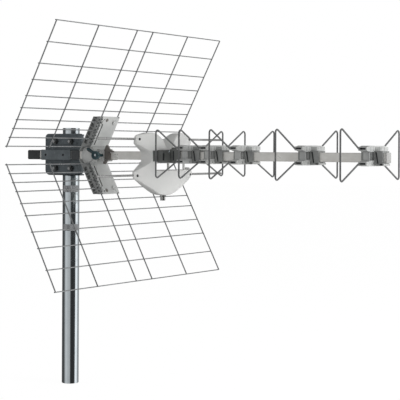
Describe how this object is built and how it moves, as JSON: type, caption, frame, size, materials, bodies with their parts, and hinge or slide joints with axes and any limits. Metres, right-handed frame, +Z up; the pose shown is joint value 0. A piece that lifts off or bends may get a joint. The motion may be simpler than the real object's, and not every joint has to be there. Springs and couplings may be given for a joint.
{
  "type": "uhf antenna",
  "caption": "Outdoor television aerial with a V shaped wire-grid reflector, a moulded dipole and bow-tie wire directors on a square boom, clamped to a hollow round mast.",
  "frame": {"origin": "centre of the mast tube's lower end", "axes": "+Z up along the mast, +X forward along the boom from the reflector towards the directors, +Y across, on the mast's side of the boom"},
  "size_m": [0.8074, 0.5, 0.6975],
  "materials": {
    "mast_steel": "satin galvanised tube",
    "clip_plastic": "matte",
    "slate_metal": "satin slate coating",
    "zinc_rod": "satin zinc",
    "zinc_nut": "satin zinc",
    "sleeve_metal": "satin slate coating",
    "black_steel": "black oxide",
    "collar_plastic": "matte",
    "boom_metal": "satin",
    "rear_cap_plastic": "matte",
    "front_cap_plastic": "matte",
    "reflector_wire": "satin drawn wire",
    "hub_plastic": "satin",
    "rib_plastic": "satin",
    "bracket_plastic": "satin",
    "knob_plastic": "satin",
    "lever_plastic": "glossy",
    "latch_plastic": "satin",
    "housing_plastic": "satin",
    "saddle_plastic": "satin",
    "rod_metal": "satin",
    "socket_metal": "nickel plated",
    "director_wire": "satin drawn wire",
    "holder_plastic": "satin",
    "screw_steel": "satin zinc"
  },
  "bodies": {
    "root": {"mast_tube": "mast_steel", "mast_clip_upper": "clip_plastic", "mast_clip_lower": "clip_plastic", "clamp_plate": "slate_metal", "clamp_bow_upper": "zinc_rod", "clamp_bow_lower": "zinc_rod", "clamp_nuts": "zinc_nut", "boom_sleeve": "sleeve_metal", "set_screws": "black_steel", "boom_collar": "collar_plastic", "boom_tube": "boom_metal", "boom_rear_cap": "rear_cap_plastic", "boom_front_cap": "front_cap_plastic", "reflector_upper": "reflector_wire", "reflector_lower": "reflector_wire", "bracket_hub": "hub_plastic", "bracket_back_upper": "rib_plastic", "bracket_back_lower": "rib_plastic", "bracket_front_upper": "bracket_plastic", "bracket_front_lower": "bracket_plastic", "hub_cap_left": "hub_plastic", "hub_cap_right": "hub_plastic", "clamp_screw": "knob_plastic", "clamp_lever": "lever_plastic", "boom_latch": "latch_plastic", "dipole_housing": "housing_plastic", "dipole_saddle": "saddle_plastic", "dipole_rod_upper": "rod_metal", "dipole_rod_lower": "rod_metal", "coax_socket": "socket_metal", "director_1": "director_wire", "director_2": "director_wire", "director_3": "director_wire", "director_4": "director_wire", "director_5": "director_wire", "holder_1": "holder_plastic", "holder_2": "holder_plastic", "holder_3": "holder_plastic", "holder_4": "holder_plastic", "holder_5": "holder_plastic", "holder_screws": "screw_steel"}
  },
  "joints": []
}
